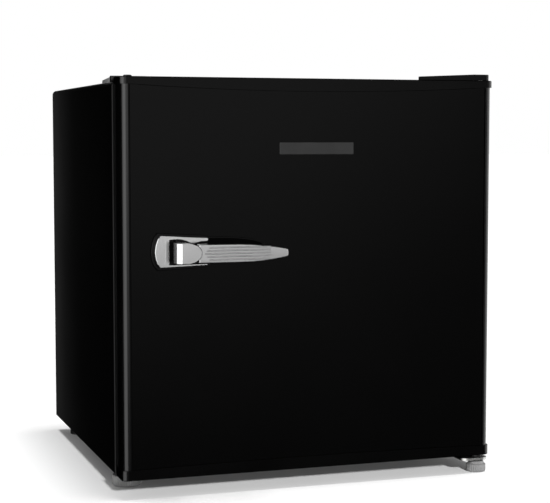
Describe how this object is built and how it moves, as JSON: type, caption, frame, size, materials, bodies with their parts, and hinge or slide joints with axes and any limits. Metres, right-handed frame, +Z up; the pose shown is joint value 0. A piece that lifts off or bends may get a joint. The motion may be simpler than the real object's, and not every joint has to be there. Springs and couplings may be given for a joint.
{
  "type": "compact refrigerator",
  "caption": "Black cube-shaped compact refrigerator with a right-hinged insulated door, a sprung lever handle, an inner freezer box, shelf, door racks and levelling feet.",
  "frame": {"origin": "centre of the overall footprint, handle included, on the floor", "axes": "+Z up, +Y to the back, +X to the right seen from the front"},
  "size_m": [0.474, 0.484, 0.501],
  "materials": {
    "badge_grey": "satin",
    "black_plastic": "satin",
    "black_rubber": "matte",
    "black_steel": "satin",
    "clear_tray": "gloss",
    "compressor_paint": "satin",
    "condenser_paint": "satin",
    "copper_tube": "satin",
    "dark_steel": "matte",
    "door_black": "gloss",
    "evaporator_alu": "satin",
    "frost_plastic": "satin",
    "gasket_rubber": "matte",
    "gloss_black": "gloss",
    "grey_plastic": "matte",
    "knob_plastic": "satin",
    "magnet_strip": "matte",
    "motor_iron": "matte",
    "pin_steel": "satin",
    "pu_foam": "matte",
    "satin_chrome": "satin",
    "shelf_wire": "gloss",
    "white_abs": "satin",
    "zinc_steel": "satin"
  },
  "bodies": {
    "cabinet": {"back_panel": "dark_steel", "base_pan": "black_steel", "cabinet_wrap": "black_steel", "capillary_tube": "copper_tube", "compressor_bolts": "zinc_steel", "compressor_grommets": "black_rubber", "compressor_motor": "motor_iron", "compressor_plate": "zinc_steel", "compressor_shell": "compressor_paint", "condenser_brackets": "black_plastic", "condenser_tube": "condenser_paint", "condenser_wires": "condenser_paint", "cord_gland": "black_rubber", "discharge_tube": "copper_tube", "drip_tray_rails": "white_abs", "evaporator_box": "evaporator_alu", "evaporator_hangers": "white_abs", "filter_drier": "copper_tube", "foam_insulation": "pu_foam", "freezer_frame": "white_abs", "hinge_washer": "black_plastic", "inner_liner": "white_abs", "lower_hinge_bracket": "zinc_steel", "lower_hinge_screws": "zinc_steel", "rear_feet": "grey_plastic", "relay_box": "black_plastic", "spare_hinge_cap": "grey_plastic", "suction_line": "copper_tube", "thermostat_body": "zinc_steel", "thermostat_capillary": "copper_tube", "thermostat_housing": "white_abs", "upper_hinge_bracket": "zinc_steel", "upper_hinge_cover": "gloss_black", "upper_hinge_screws": "zinc_steel", "wire_shelf": "shelf_wire"},
    "door": {"door_panel": "door_black", "door_rail_left": "gloss_black", "door_rail_right": "gloss_black", "door_cap_top": "gloss_black", "door_cap_bottom": "gloss_black", "hinge_bushes": "grey_plastic", "door_hole_plug": "gloss_black", "door_liner": "white_abs", "door_foam": "pu_foam", "door_gasket": "gasket_rubber", "gasket_magnets": "magnet_strip", "door_rack_upper": "clear_tray", "door_rack_lower": "clear_tray", "badge_plate": "badge_grey", "handle_pad": "black_plastic", "handle_escutcheon": "satin_chrome", "handle_pin": "pin_steel", "handle_spring": "pin_steel"},
    "handle_lever": {"handle_lever": "satin_chrome"},
    "freezer_flap": {"freezer_flap": "frost_plastic"},
    "drip_tray": {"drip_tray": "clear_tray"},
    "thermostat_knob": {"thermostat_knob": "knob_plastic"},
    "foot_left": {"foot_front_left": "grey_plastic"},
    "foot_right": {"foot_front_right": "grey_plastic"}
  },
  "joints": [
    {"name": "door_hinge", "type": "hinge", "parent": "cabinet", "child": "door", "pos_m": [0.2246, -0.1915, 0.25], "axis": [0, 0, 1], "range_deg": [0, 125]},
    {"name": "handle_pivot", "type": "hinge", "parent": "door", "child": "handle_lever", "pos_m": [-0.172, -0.211, 0.2905], "axis": [0, 0, -1], "range_deg": [0, 14], "stiffness_Nm_per_rad": 0.6, "springref_deg": -4.58},
    {"name": "freezer_flap_hinge", "type": "hinge", "parent": "cabinet", "child": "freezer_flap", "pos_m": [0, -0.057, 0.4385], "axis": [-1, 0, 0], "range_deg": [0, 90]},
    {"name": "drip_tray_slide", "type": "slide", "parent": "cabinet", "child": "drip_tray", "axis": [0, -1, 0], "range_m": [0, 0.08]},
    {"name": "thermostat_turn", "type": "hinge", "parent": "cabinet", "child": "thermostat_knob", "pos_m": [0.15, 0.005, 0.285], "axis": [-1, 0, 0], "range_deg": [0, 270]},
    {"name": "foot_left_turn", "type": "hinge", "parent": "cabinet", "child": "foot_left", "pos_m": [-0.214, -0.125, 0.01], "axis": [0, 0, 1], "continuous": true},
    {"name": "foot_right_turn", "type": "hinge", "parent": "cabinet", "child": "foot_right", "pos_m": [0.2246, -0.1915, 0.01], "axis": [0, 0, 1], "continuous": true}
  ]
}
